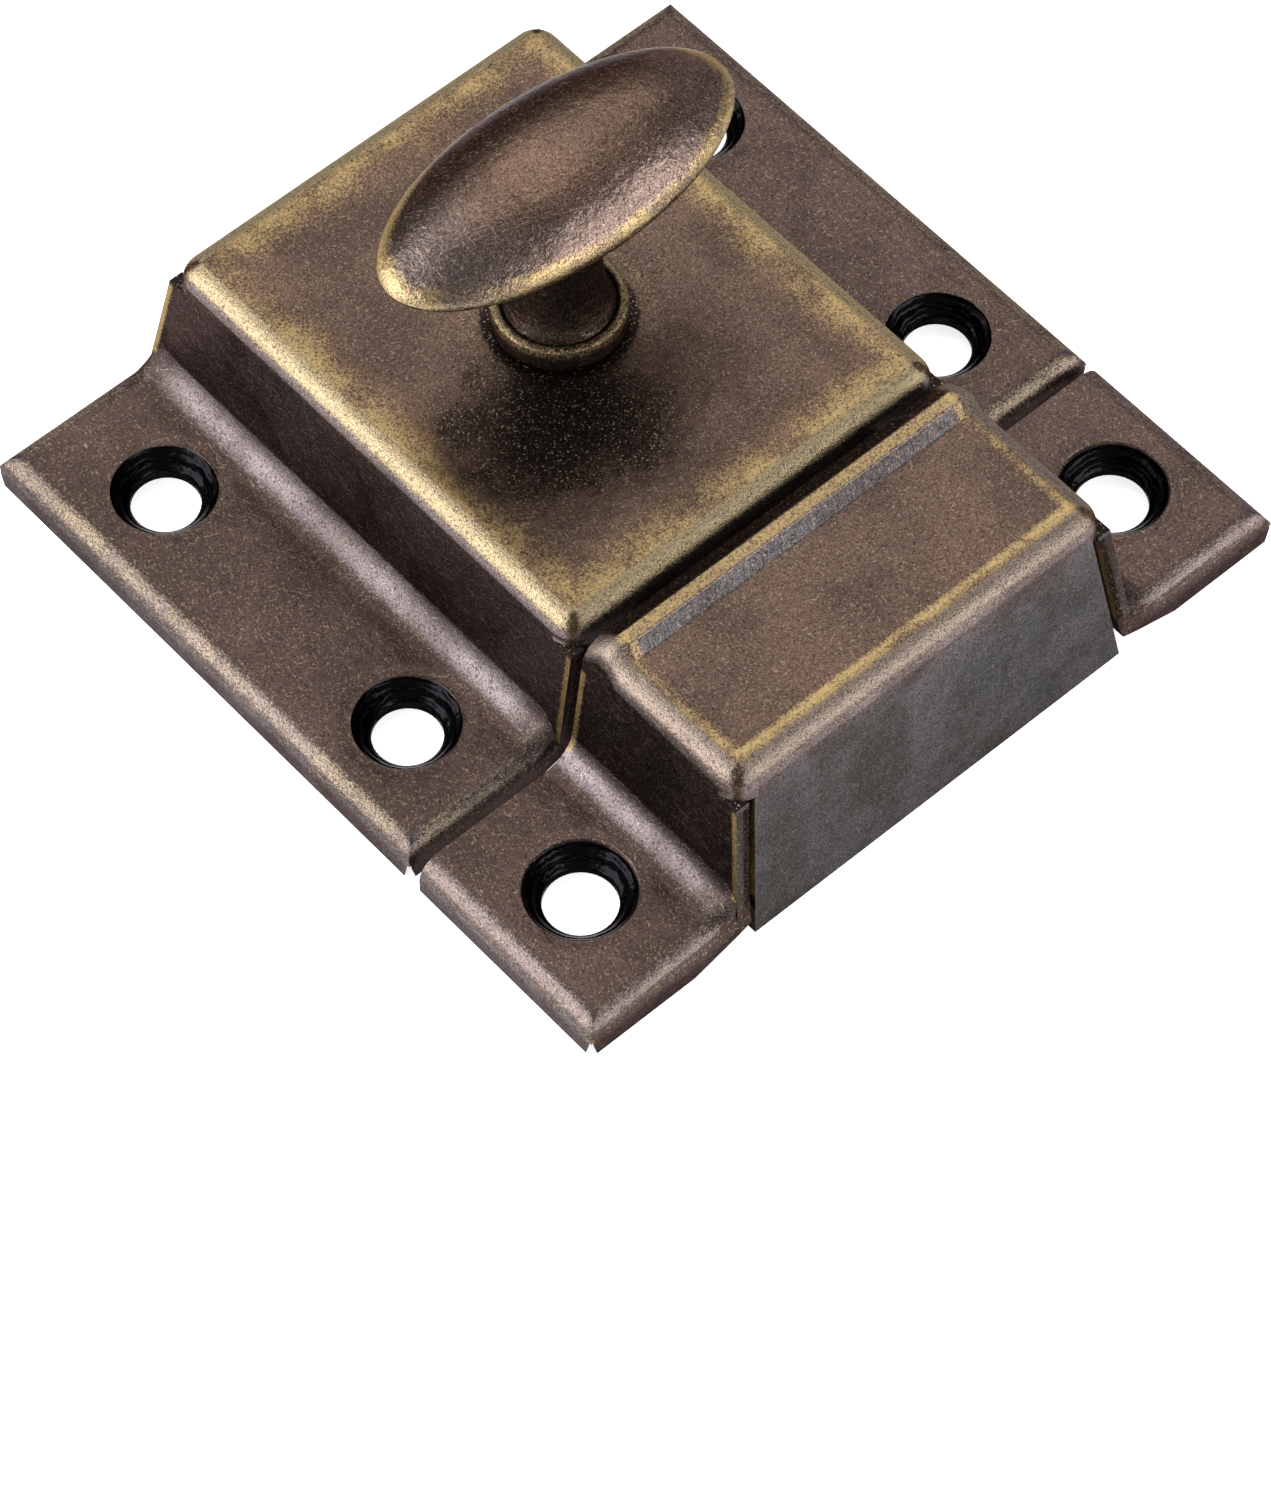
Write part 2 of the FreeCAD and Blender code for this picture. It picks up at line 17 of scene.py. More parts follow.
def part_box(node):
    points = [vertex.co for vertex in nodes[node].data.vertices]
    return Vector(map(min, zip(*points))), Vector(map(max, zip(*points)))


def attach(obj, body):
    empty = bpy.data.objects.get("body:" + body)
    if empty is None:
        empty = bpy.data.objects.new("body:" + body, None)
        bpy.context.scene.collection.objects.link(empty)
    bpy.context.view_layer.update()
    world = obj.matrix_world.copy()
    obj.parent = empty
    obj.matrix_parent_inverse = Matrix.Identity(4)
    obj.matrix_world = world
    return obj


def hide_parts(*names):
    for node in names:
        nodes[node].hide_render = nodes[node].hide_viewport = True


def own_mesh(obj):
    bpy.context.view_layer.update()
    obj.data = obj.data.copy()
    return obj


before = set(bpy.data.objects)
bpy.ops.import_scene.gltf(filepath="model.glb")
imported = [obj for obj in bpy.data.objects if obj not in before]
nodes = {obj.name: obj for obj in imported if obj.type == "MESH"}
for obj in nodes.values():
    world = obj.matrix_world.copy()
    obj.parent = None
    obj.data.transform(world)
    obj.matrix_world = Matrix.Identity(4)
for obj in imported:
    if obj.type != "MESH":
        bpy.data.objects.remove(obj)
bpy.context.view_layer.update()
MM = 0.001
print("pieces in the frame:", len(nodes))

# %% [markdown]
# ## Sizes taken from the frame
#
# Every pattern below is laid out in millimetres on the object's own coordinates. Reading the boxes of the
# real pieces keeps the finish on its edges even if a size changes. Only a few sizes that no box
# shows, such as the radius of a bend, are listed here as numbers.

# %% Sizes in millimetres
case_low, case_high = (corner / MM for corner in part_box("latch_case"))
strike_low, strike_high = (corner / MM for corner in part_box("strike"))
knob_low, knob_high = (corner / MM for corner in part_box("turn_knob"))
spring_low, spring_high = (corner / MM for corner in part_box("bolt_spring"))

half_width = case_high.x
sheet = 1.0
crown_bend = 1.8
flange_top = 2.75
box_top = case_high.z
top_half = 15.06
wall_draft = math.radians(7.16)
draft_slope = math.tan(wall_draft)
foot_half = top_half + box_top * draft_slope
end_lean = 2.25 / box_top
hole_across = 22.27
case_holes = (case_high.y - 9.09 - 23.39, case_high.y - 9.09)
strike_hole = strike_low.y + 8.01
spindle_y = (knob_low.y + knob_high.y) / 2
flat_half = top_half - crown_bend * math.tan((math.pi / 2 - wall_draft) / 2)
lead_start = strike_high.y - 1.25
ramp_top = lead_start - 0.9
ramp_foot = ramp_top - 0.7
print("top of the case:", round(box_top, 2), "mm; its flat reaches", round(flat_half, 2), "mm each side")

# %% [markdown]
# ## Camera
#
# The photograph looks down at about 57 degrees across one corner, from far away: the long lens
# keeps the edges almost parallel. A camera looks along its own -Z, so its +Z is the direction from
# the object back to the lens.

# %% Camera at the photograph's angle
azimuth, elevation, roll = math.radians(-41.73), math.radians(56.87), math.radians(0.07)
back = Vector((math.sin(azimuth) * math.cos(elevation), -math.cos(azimuth) * math.cos(elevation),
               math.sin(elevation)))
camera_data = bpy.data.cameras.new("camera")
camera_data.lens = 148.46
camera_data.sensor_width = 36
camera = bpy.data.objects.new("camera", camera_data)
bpy.context.scene.collection.objects.link(camera)
camera.matrix_world = (Matrix.Translation(Vector((-150.4, -168.88, 318.7)) * MM)
                       @ back.to_track_quat("Z", "Y").to_matrix().to_4x4() @ Matrix.Rotation(roll, 4, "Z"))
bpy.context.scene.camera = camera
print("camera at", tuple(round(v, 3) for v in camera.location))

# %% [markdown]
# ## Floor and light
#
# A patinated metal has almost no colour of its own in the shade: what it shows is what it mirrors. The
# bends of this latch are bright because two long soft boxes stand low, one behind on the left and one in
# front on the right, and the flat faces stay brown because only a dim sheet of light hangs above them.
# The floor glows a little by itself, which keeps it as white as a sheet of paper under such dim light.

# %% Pale floor and soft boxes
floor_mesh = bpy.data.meshes.new("floor")
bm = bmesh.new()
bmesh.ops.create_grid(bm, x_segments=1, y_segments=1, size=3.0)
bm.to_mesh(floor_mesh)
bm.free()
floor = bpy.data.objects.new("floor", floor_mesh)
bpy.context.scene.collection.objects.link(floor)
floor_paint = bpy.data.materials.new("floor_paint")
floor_paint.use_nodes = True
floor_shader = floor_paint.node_tree.nodes["Principled BSDF"]
floor_shader.inputs["Base Color"].default_value = (0.85, 0.85, 0.85, 1)
floor_shader.inputs["Roughness"].default_value = 0.9
floor_shader.inputs["Emission Color"].default_value = (1, 1, 1, 1)
floor_shader.inputs["Emission Strength"].default_value = 0.8
floor_mesh.materials.append(floor_paint)


def soft_box(name, direction, distance, size_x, size_y, power):
    """Area light that looks at the object from a direction, with its long side level."""
    lamp = bpy.data.lights.new(name, "AREA")
    lamp.shape = "RECTANGLE"
    lamp.size, lamp.size_y = size_x, size_y
    lamp.energy = power
    light = bpy.data.objects.new(name, lamp)
    bpy.context.scene.collection.objects.link(light)
    toward = Vector(direction).normalized()
    light.matrix_world = (Matrix.Translation(toward * distance)
                          @ toward.to_track_quat("Z", "Y").to_matrix().to_4x4())
    print("light", name, power, "W")


soft_box("left_back_box", (-0.79, 0.41, 0.46), 0.7, 0.8, 0.56, 9)
soft_box("right_front_box", (0.36, -0.84, 0.40), 0.7, 0.8, 0.28, 4.5)
soft_box("overhead_sheet", (0.30, 0.36, 0.85), 0.9, 0.9, 0.9, 5)
world = bpy.data.worlds.new("studio")
world.use_nodes = True
world.node_tree.nodes["Background"].inputs["Color"].default_value = (1, 1, 1, 1)
world.node_tree.nodes["Background"].inputs["Strength"].default_value = 0.4
bpy.context.scene.world = world
bpy.context.scene.view_settings.view_transform = "Standard"

# %% [markdown]
# ## Writing shader maths as plain expressions
#
# A patina is arithmetic: "dark where it is low, bright where it bends, broken up by noise". Written
# as node links that is hard to read, so one small class wraps a socket and lets Python's own signs add the
# Math nodes. Numbers on both sides never become nodes, because Python works them out first.

# %% A socket that can be added and multiplied
class Value:
    """One number that varies over a surface: the output of a node."""

    def __init__(self, finish, socket):
        self.finish = finish
        self.socket = socket

    def math(self, operation, *others):
        return self.finish.node("ShaderNodeMath", {"operation": operation}, self, *others)

    def __add__(self, other): return self.math("ADD", other)
    __radd__ = __add__
    def __mul__(self, other): return self.math("MULTIPLY", other)
    __rmul__ = __mul__
    def __sub__(self, other): return self.math("SUBTRACT", other)
    def __rsub__(self, other): return self.finish.node("ShaderNodeMath", {"operation": "SUBTRACT"}, other, self)
    def __abs__(self): return self.math("ABSOLUTE")

    def least(self, other): return self.math("MINIMUM", other)
    def most(self, other): return self.math("MAXIMUM", other)
    def root(self): return self.math("SQRT")
    def sine(self): return self.math("SINE")

    def step(self, start, end):
        """0 at start, 1 at end, smooth between them; start may be the larger."""
        return self.finish.node("ShaderNodeMapRange", {"interpolation_type": "SMOOTHSTEP"}, self, start, end)

    def near(self, centre, reach):
        """1 where the value meets centre, fading to 0 at reach on both sides."""
        return abs(self - centre).step(reach, reach * 0.25)


class Finish:
    """A material with its Principled shader, and the few ways in which this lesson adds nodes to it."""

    def __init__(self, name):
        self.material = bpy.data.materials.new(name)
        self.material.use_nodes = True
        self.tree = self.material.node_tree
        self.shader = self.tree.nodes["Principled BSDF"]
        where = self.tree.nodes.new("ShaderNodeTexCoord")
        scaled = self.node("ShaderNodeVectorMath", {"operation": "SCALE"}, where.outputs["Object"],
                           inputs={"Scale": 1 / MM})
        self.place = scaled.socket
        self.x, self.y, self.z = self.split(self.place)
        self.nx, self.ny, self.nz = self.split(where.outputs["Normal"])

    def node(self, kind, settings, *values, inputs=None, output=0):
        """Add a node: settings first, then the values or links of its sockets in order, or by name."""
        made = self.tree.nodes.new(kind)
        for key, setting in settings.items():
            setattr(made, key, setting)
        named = [(made.inputs[key], value) for key, value in (inputs or {}).items()]
        for socket, value in list(zip(made.inputs, values)) + named:
            if isinstance(value, Value):
                value = value.socket
            if isinstance(value, bpy.types.NodeSocket):
                self.tree.links.new(value, socket)
            else:
                socket.default_value = value
        return Value(self, made.outputs[output])

    def split(self, vector):
        parts = self.tree.nodes.new("ShaderNodeSeparateXYZ")
        self.tree.links.new(vector, parts.inputs[0])
        return [Value(self, part) for part in parts.outputs]

    def moved(self, turn=(0, 0, 0), scale=(1, 1, 1), shift=(0, 0, 0)):
        """The surface's coordinates in millimetres, turned and then scaled."""
        turned = self.node("ShaderNodeMapping", {"vector_type": "POINT"}, self.place,
                           inputs={"Rotation": turn, "Location": shift})
        return self.node("ShaderNodeVectorMath", {"operation": "MULTIPLY"}, turned.socket, scale)

    def noise(self, per_mm, detail=2.0, place=None):
        return self.node("ShaderNodeTexNoise", {}, inputs={"Vector": place or self.place, "Scale": per_mm,
                                                           "Detail": detail, "Roughness": 0.6})

    def mix(self, factor, one, other):
        """Colour between one and other."""
        made = self.tree.nodes.new("ShaderNodeMix")
        made.data_type = "RGBA"
        for index, value in ((0, factor), (6, one), (7, other)):
            value = value.socket if isinstance(value, Value) else value
            if isinstance(value, bpy.types.NodeSocket):
                self.tree.links.new(value, made.inputs[index])
            else:
                made.inputs[index].default_value = value
        return Value(self, made.outputs[2])

    def feed(self, **channels):
        """Link or set the Principled shader's sockets; a name's underscores stand for spaces."""
        for name, value in channels.items():
            socket = self.shader.inputs[name.replace("_", " ")]
            if isinstance(value, Value):
                self.tree.links.new(value.socket, socket)
            else:
                socket.default_value = value

    def bumped(self, height, distance, strength=1.0):
        """Feed a height in units of distance millimetres to the Normal socket."""
        bump = self.node("ShaderNodeBump", {}, inputs={"Height": height, "Distance": distance * MM,
                                                       "Strength": strength})
        self.tree.links.new(bump.socket, self.shader.inputs["Normal"])


def rgb(red, green, blue):
    return (red, green, blue, 1.0)


# %% [markdown]
# ## Wear that every patinated piece shares
#
# Three things make old brass look handled: clouds where the patina took unevenly, thousands of pin-sized
# flecks, light and dark, and hair scratches at every angle. The scratches are a noise squeezed to
# long thin cells and cut off high, so that only short stretches of each line survive. Four turned
# copies are enough for the eye to give up looking for a direction.
#
# Rubbed metal never fades in softly. Up close it is a crowd of bright grains that stand denser and denser, so a
# mask is never mixed in directly: it is added to a fine noise and the sum is cut off.

# %% Clouds, flecks and hair scratches
PATINA_DARK = rgb(0.030, 0.021, 0.018)
PATINA_BROWN = rgb(0.118, 0.075, 0.057)
MULBERRY = rgb(0.090, 0.058, 0.050)
WALL_DARK = rgb(0.060, 0.045, 0.044)
END_GREY = rgb(0.066, 0.073, 0.075)
STAIN_GREY = rgb(0.092, 0.090, 0.096)
VIOLET_GREY = rgb(0.215, 0.185, 0.195)
OCHRE = rgb(0.235, 0.138, 0.052)
# Dark brown painted shade for the notch where two crown bends meet.
NOTCH_SHADE_BROWN = rgb(0.075, 0.042, 0.016)
GOLD = rgb(0.365, 0.262, 0.118)
CREAM = rgb(0.315, 0.25, 0.15)
PINK_CREAM = rgb(0.205, 0.162, 0.136)
TAN_FLECK = rgb(0.40, 0.31, 0.21)
RAMP_GREY = rgb(0.090, 0.077, 0.083)
EDGE_GREY = rgb(0.045, 0.042, 0.042)
LIP_GREY = rgb(0.150, 0.138, 0.140)
# Near-black for stains, and for painted shade in gaps, in corners and under the knob.
SOOT_AND_SHADE = rgb(0.007, 0.0055, 0.005)
SINK_BLACK = rgb(0.006, 0.006, 0.007)
RIM_TINT = rgb(0.34, 0.32, 0.33)


def scratches(finish, count=4, density=0.66):
    """Short fine lines at count angles: 1 on a scratch, 0 beside it."""
    lines = 0.0
    for i in range(count):
        lying = finish.moved((0.3 * i, 0.5 * i, 0.4 + math.pi * i / count), (0.9, 8.0, 8.0), (3.7 * i, 0, 0))
        lines = lines + finish.noise(1.0, 1.0, lying.socket).step(density, density + 0.08)
    return lines.least(1.0)


def patina(finish, body, gold, bright, soot_and_shade, bright_colour=CREAM, relief=0.0, calm=0.0, dull=0.0, sink=None):
    """Lay gold, bright rubbed metal and a near-black over the body colour, with flecks and scratches in all of
    them.

    gold, bright and the near-black run from 0 to 1. The near-black stands for stains, and also for painted
    shadow in gaps, in corners and under the knob. relief raises the surface, calm fades the flecks, dull adds
    roughness, and sink marks the black hollows of the screw holes."""
    fine = finish.noise(5.5, 2.0)
    grain = finish.noise(10.0, 1.0)
    clouds = finish.noise(0.16, 3.0)
    lines = scratches(finish)
    crumble = (fine - 0.5) * 1.0 + (grain - 0.5) * 1.3
    rubbed = (gold + crumble).step(0.20, 1.10) * gold.step(0.02, 0.25)
    shining = (bright * 0.9 + crumble * 1.3).step(0.10, 1.15) * bright.step(0.02, 0.2)
    soot_and_shade_cover = (soot_and_shade + crumble).step(0.28, 0.85) * soot_and_shade.step(0.02, 0.2)
    marked = 1 - calm
    light_flecks = finish.noise(5.6, 1.5).step(0.60, 0.70) * marked
    dark_flecks = finish.noise(4.8, 1.5).step(0.58, 0.70)
    colour = finish.mix(clouds.step(0.40, 0.62) * 0.40, body, PATINA_DARK)
    colour = finish.mix(grain.step(0.58, 0.36) * 0.62, colour, PATINA_DARK)
    colour = finish.mix(fine.step(0.56, 0.34) * 0.34, colour, PATINA_DARK)
    colour = finish.mix(rubbed * 0.80, colour, GOLD)
    colour = finish.mix(shining, colour, bright_colour)
    colour = finish.mix(light_flecks * 0.27, colour, TAN_FLECK)
    colour = finish.mix(lines * marked * 0.27, colour, TAN_FLECK)
    colour = finish.mix(dark_flecks * 0.42, colour, PATINA_DARK)
    # The near-black mask lays stains and also painted shade.
    colour = finish.mix(soot_and_shade_cover * 0.90, colour, SOOT_AND_SHADE)
    colour = finish.mix(soot_and_shade_cover * finish.noise(6.2, 1.0).step(0.62, 0.70) * finish.nz.step(0.2, 0.9) * 0.75,
                        colour, TAN_FLECK)
    roughness = 0.37 + (fine - 0.5) * 0.20 + dark_flecks * 0.10 + shining * 0.06 + (clouds - 0.5) * 0.12 + dull
    height = fine * 0.6 + grain * (0.5 + shining) + finish.noise(0.35, 2.0) * 7.0 - lines * 0.4 - dark_flecks * 0.5 + relief
    if sink is not None:
        ragged = sink["radius"] + (finish.noise(0.9, 2.0) - 0.5) * 0.45
        colour = finish.mix(sink["inside"], colour, SINK_BLACK)
        roughness = roughness * (1 - sink["inside"]) + sink["inside"] * 0.24
        height = height * (1 - sink["inside"]) + (ragged * 11.0).sine() * sink["inside"] * 2.6
    finish.feed(Base_Color=colour, Roughness=roughness.least(0.7).most(0.12), Metallic=0.97, Specular_Tint=RIM_TINT)
    finish.bumped(height, 0.018)
    return finish.material


# %% [markdown]
# ## Where a pressed sheet is worn
#
# On a folded sheet the surface normal says everything. Flat faces look straight up, walls look
# sideways, and only a bend looks half way between. So the upward part of the normal picks out the bends
# with no painting at all, and the height above the table tells a crown bend from the hollow bend at
# the wall's foot and from the lip of a flange. The upper half of a crown bend is rubbed to bright
# metal and its lower half stays grey. Where two crown bends meet at a corner, the bright is left out
# and a dark brown notch is painted there as shade between them.

# %% Finish of the case and of the strike
def sheet_finish(name, low_y, high_y, holes, halo_width, flat_y, edge_lines, bright_colour, special):
    """Antique finish for one pressed sheet.

    low_y and high_y are its ends, flat_y says where its flat top starts and ends, halo_width is how far brass
    creeps on to the flat top, and edge_lines gives each sheared upright edge as (y at the foot, lean, side)."""
    finish = Finish(name)
    x, y, z, nz = abs(finish.x), finish.y, finish.z, finish.nz
    nx, ny = abs(finish.nx), abs(finish.ny)
    high = z.step(10.0, 11.4)
    flange = z.step(3.1, 2.8) * x.step(15.25, 15.45)
    shoulder = nz.step(0.995, 0.955) * nz.step(0.40, 0.66)
    skirt = nz.step(0.62, 0.42) * nz.step(0.18, 0.24)
    bend = nz.step(0.995, 0.95) * nz.step(0.18, 0.30)
    corner = abs(nx - ny).step(0.42, 0.08) * nx.least(ny).step(0.10, 0.30)
    corner = corner * (y - low_y).least(high_y - y).step(4.6, 4.2)
    wall = nz.step(0.22, 0.16)
    side = wall * nx.step(0.75, 0.95)
    end = wall * ny.step(0.75, 0.95)
    uneven = finish.noise(0.24, 3.0)

    inward = (flat_half - x).least(y - flat_y[0]).least(flat_y[1] - y)
    halo = inward.step(halo_width, -halo_width * 0.25) * z.step(12.6, 13.0) * nz.step(0.9, 0.99)
    halo = halo * (0.45 + uneven.step(0.36, 0.60) * 0.55)
    crown = shoulder * high * (1 - corner)
    # notch: the corner where two crown bends meet, painted shade in dark brown and near-black, with a little gold
    # wear at its top.
    notch = corner * high * nz.step(0.97, 0.8)
    lip_edge = (half_width - x).least(y - low_y).least(high_y - y)
    lip = bend * flange * lip_edge.step(2.2, 1.7)
    # mitre: the corner where two lips meet, darkened as painted shade between their highlights, with gold wear low
    # down.
    mitre = abs((half_width - x) - (y - low_y).least(high_y - y)).step(0.55, 0.1) * lip
    foot = bend * (1 - high) * (1 - flange)
    # The last few millimetres of the foot bend at the sheet's ends are darkened as painted shade.
    foot_end_shade = (y - low_y).least(high_y - y).step(4.4, 2.0)
    ledge = nz.step(0.5, 0.9) * z.step(10.0, 11.0) * z.step(11.8, 11.5)

    body = finish.mix(high, MULBERRY, PATINA_BROWN)
    body = finish.mix(halo * 0.55, body, OCHRE)
    body = finish.mix(skirt * high * 0.65, body, VIOLET_GREY)
    body = finish.mix(foot * 0.85, body, VIOLET_GREY)
    body = finish.mix(foot * foot_end_shade * 0.8, body, PATINA_DARK)
    body = finish.mix(lip * shoulder * 0.45, body, VIOLET_GREY)
    body = finish.mix(flange * nz.step(0.66, 0.25) * 0.85, body, finish.mix(nx.step(0.5, 0.9), WALL_DARK, LIP_GREY))
    # The flange beside the walls at the sheet's ends is darkened as painted shade, and its lip gets no rubbed
    # bright there.
    cleft_shade = flange * x.step(19.5, 16.5) * (y - low_y).least(high_y - y).step(3.0, 1.2)
    body = finish.mix(cleft_shade * 0.85, body, PATINA_DARK)
    body = finish.mix(side * (1 - flange), body, WALL_DARK)
    stained = finish.mix(uneven.step(0.36, 0.62), END_GREY, STAIN_GREY)
    body = finish.mix(end * (1 - flange * 0.8), body, finish.mix(z.step(7.0, 12.0) * 0.22, stained, VIOLET_GREY))
    body = finish.mix(notch * 0.85, body, NOTCH_SHADE_BROWN)
    gold = halo * 0.85 + notch * nz.step(0.5, 0.9) * z.step(11.6, 12.4) * 0.35 + mitre * nz.step(0.5, 0.25) * 0.7
    bright = crown * 0.95 + lip * shoulder * (1 - mitre) * (1 - cleft_shade) * (0.26 + uneven.step(0.35, 0.6) * 0.24)
    soot_and_shade = side * (1 - flange) * finish.noise(0.17, 3.0).step(0.38, 0.66) * 0.54 + ledge + mitre * 0.45 + notch * nz.step(0.75, 0.5) * 0.5
    for edge_y, lean, inside in edge_lines:
        past = (y - edge_y - z * lean) * inside
        line = past.step(0.60, 0.25) * z.step(2.5, 3.2) * z.step(11.3, 10.8)
        soot_and_shade = soot_and_shade * (1 - line)
        gold = gold + line * nx.step(0.6, 0.9) * 0.95
        depth = x - foot_half + z * draft_slope
        # Beside a slit the inner part of the sheared face is painted shade in near-black; only its outer part shows
        # grey.
        cut_face = line * ny.step(0.8, 0.95) * depth.step(-1.15, -1.05)
        body = finish.mix(cut_face, body, finish.mix(depth.step(-0.62, -0.45), SOOT_AND_SHADE, EDGE_GREY))
    body, gold, bright, soot_and_shade, relief = special(finish, body, gold, bright, soot_and_shade)

    radius = None
    for hole_y in holes:
        across = x - hole_across
        along = y - hole_y
        this = (across * across + along * along).root()
        radius = this if radius is None else radius.least(this)
    inside = radius.step(3.62, 3.45) * z.step(flange_top + 0.02, flange_top - 0.08)
    relief = relief - radius.step(4.5, 3.5) * 5.0 * flange
    return patina(finish, body, gold.least(1.0), bright.least(1.0), soot_and_shade.least(1.0), bright_colour, relief,
                  wall * 0.45, foot * 0.12, {"inside": inside, "radius": radius})


def case_details(finish, body, gold, bright, soot_and_shade):
    """Black groove and ochre ring round the knob's foot, and a dark patch in front of it: patina together with a
    painted reflection and shadow of the knob.
    """
    top = finish.z.step(12.9, 13.2)
    dx = finish.x + 5.2
    dy = finish.y - (spindle_y - 6.2)
    along = (dx * 0.75 - dy * 0.66) * (1 / 9.4)
    across = (dx * 0.66 + dy * 0.75) * (1 / 7.2)
    # A dark oval in front of the knob: patina, and a painted reflection and shadow of the knob.
    blot_and_knob_reflection = (along * along + across * across).root() + (finish.noise(0.30, 3.0) - 0.5) * 0.9
    rx = finish.x
    ry = finish.y - spindle_y
    ring = (rx * rx + ry * ry).root()
    gold = gold + ring.near(5.7, 0.9) * top * 0.28
    soot_and_shade = (blot_and_knob_reflection.step(1.25, 0.35) * 0.80).most(ring.step(5.25, 4.7)) * top + soot_and_shade * (1 - top)
    return body, gold, bright, soot_and_shade, 0.0


def strike_details(finish, body, gold, bright, soot_and_shade):
    """The ridge: a striated dark ramp, a bright line painted as a highlight along its upper edge, a rubbed flat,
    and a lead-in darkened as painted shadow where it slopes down to the case.
    """
    y, z = finish.y, finish.z
    top = z.step(12.9, 13.2)
    across = (flat_half + 0.6 - abs(finish.x)).step(0.0, 0.8)
    inside = (flat_half - 0.35 - abs(finish.x)).step(0.0, 0.45)
    band = y.step(ramp_foot - 0.12, ramp_foot) * y.step(ramp_top + 0.02, ramp_top - 0.06) * across
    ramp = band * inside
    flat = y.step(ramp_top, ramp_top + 0.1) * y.step(lead_start + 0.1, lead_start - 0.1) * across * top
    # A painted highlight along the ridge's upper edge.
    line = y.near(ramp_top, 0.14) * inside * top
    # The lead-in sloping down to the case is darkened as painted shade.
    lead = y.step(lead_start, lead_start + 0.2) * across * z.step(11.0, 12.0)
    front = y.near(strike_low.y + 3.95, 0.38) * across * top
    strokes = finish.noise(1.0, 1.0, finish.moved(scale=(6.5, 1.1, 1.1)).socket)
    kept = 1 - band
    wall = abs(finish.nx).step(0.75, 0.95) * abs(finish.x).step(19.0, 18.0)
    body = finish.mix(wall * 0.7, body, SOOT_AND_SHADE)
    gold = gold * kept + flat * 0.72 + front * 0.42 + (band - ramp) * 0.6
    bright = bright * kept * (1 - lead) * (1 - flat) + line * 0.6
    body = finish.mix(ramp, body, finish.mix(strokes.step(0.4, 0.62), RAMP_GREY, END_GREY))
    soot_and_shade = soot_and_shade + lead * 0.62
    return body, gold, bright, soot_and_shade, strokes * ramp * 3.0


case_finish = sheet_finish("antique_case", case_low.y, case_high.y, case_holes, 3.4,
                           (case_low.y + crown_bend, case_high.y - 3.9),
                           ((case_low.y, 0.0, 1), (case_high.y, -end_lean, -1)), CREAM, case_details)
strike_finish = sheet_finish("antique_strike", strike_low.y, strike_high.y + 9.0, (strike_hole,), 0.7,
                             (strike_low.y + 3.70, strike_high.y + 9.0),
                             ((strike_low.y, end_lean, 1), (strike_high.y, 0.0, -1)), PINK_CREAM, strike_details)
print("sheet finishes:", case_finish.name, "and", strike_finish.name)

# %% [markdown]
# ## Finish of the knob
#
# The knob is cast, and a hand turns it, so its thin rim and the rim of its foot are the brightest brass on the
# latch, while the stem and belly, which nobody can rub, stay nearly black, darkened further as painted shade
# under the head. The dome also carries a painted sheen, a painted highlight at its left end and painted
# shade on its far side. How near a point is to the rim of an oval is measured on the oval itself: both axes
# are divided by their own half length, which turns the oval into a unit circle.

# %% Knob finish
half_length = (knob_high.x - knob_low.x) / 2
half_breadth = (knob_high.y - knob_low.y) / 2
rim_z = 27.0
foot_top = box_top + 2.0


def knob_finish():
    finish = Finish("antique_knob")
    z = finish.z
    ax = finish.x * (1 / half_length)
    ay = (finish.y - spindle_y) * (1 / half_breadth)
    oval = (ax * ax + ay * ay).root()
    rx, ry = finish.x, finish.y - spindle_y
    ring = (rx * rx + ry * ry).root()
    head = z.step(22.5, 23.5)
    uneven = finish.noise(0.35, 3.0)
    rim = oval.step(0.86, 0.965) * z.step(26.2, 26.6) * head
    rim = rim * (0.45 + uneven.step(0.35, 0.6) * 0.50)
    # under: the underside of the head; it and the stem are unrubbed patina, darkened further as painted shade.
    under = z.step(26.7, 26.0) * head
    foot = z.near(foot_top - 0.25, 0.75) * ring.step(3.55, 3.9) * (1 - head)
    # Painted sheen: the outer ring of the dome is lightened to a violet grey.
    shade = oval.step(0.45, 0.8) * head * (1 - under)
    body = finish.mix(shade * 0.6, rgb(0.188, 0.115, 0.082), rgb(0.142, 0.110, 0.108))
    # Painted highlight: the left end of the dome is lightened to a violet grey.
    body = finish.mix(ax.step(-0.3, -0.85) * head * 0.5, body, rgb(0.190, 0.155, 0.150))
    # Painted shade: the far side of the dome, facing away from the camera, is darkened.
    body = finish.mix(finish.ny.step(0.12, 0.55) * head * 0.8, body, PATINA_DARK)
    body = finish.mix((under + (1 - head)).least(1.0) * 0.75, body, PATINA_DARK)
    soot_and_shade = (under * 0.55 + (1 - head) * ring.step(3.9, 3.5) * 0.5).least(1.0)
    return patina(finish, body, rim * 0.95 + foot * 0.55, rim * oval.step(0.95, 0.99) * 0.5 + foot * 0.35,
                  soot_and_shade, CREAM, (finish.noise(2.2, 2.0) - 0.5) * 3.0, 0.0, head * -0.07)


knob_material = knob_finish()
print("knob finish:", knob_material.name)


# %% [markdown]
# ## Plain finishes inside
#
# Nobody sees the guide plate or the bolt once the latch is screwed down. They are zinc plate, bare casting
# and spring wire: plain greys, with the cloudiness of plating and the tumbling marks of a casting.

